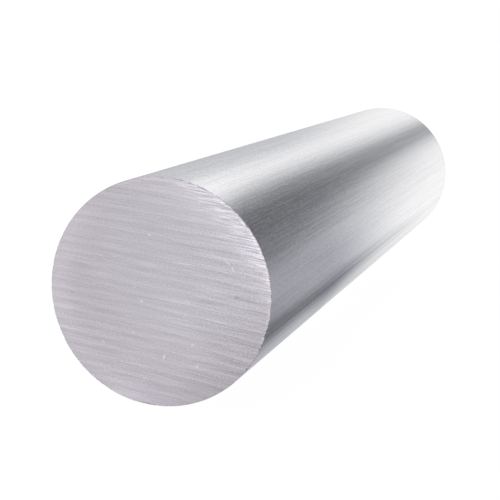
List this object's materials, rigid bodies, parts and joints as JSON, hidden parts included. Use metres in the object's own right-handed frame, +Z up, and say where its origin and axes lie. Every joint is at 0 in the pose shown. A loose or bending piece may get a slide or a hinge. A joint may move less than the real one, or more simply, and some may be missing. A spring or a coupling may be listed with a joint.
{
  "type": "round metal bar",
  "caption": "Solid round aluminium bar, sawn square at both ends, stock for turning, milling or use as a shaft or roller.",
  "frame": {"origin": "on the floor, below the middle of the bar's length and under its axis", "axes": "+Y along the bar, from the front sawn face to the back one; +Z up; +X to the right seen from the front"},
  "size_m": [0.0999, 0.5, 0.1],
  "materials": {
    "round_bar": "bright drawn skin with fine lines along the bar, and matt band-sawn ends"
  },
  "bodies": {
    "root": {"round_bar": "round_bar"}
  },
  "joints": []
}
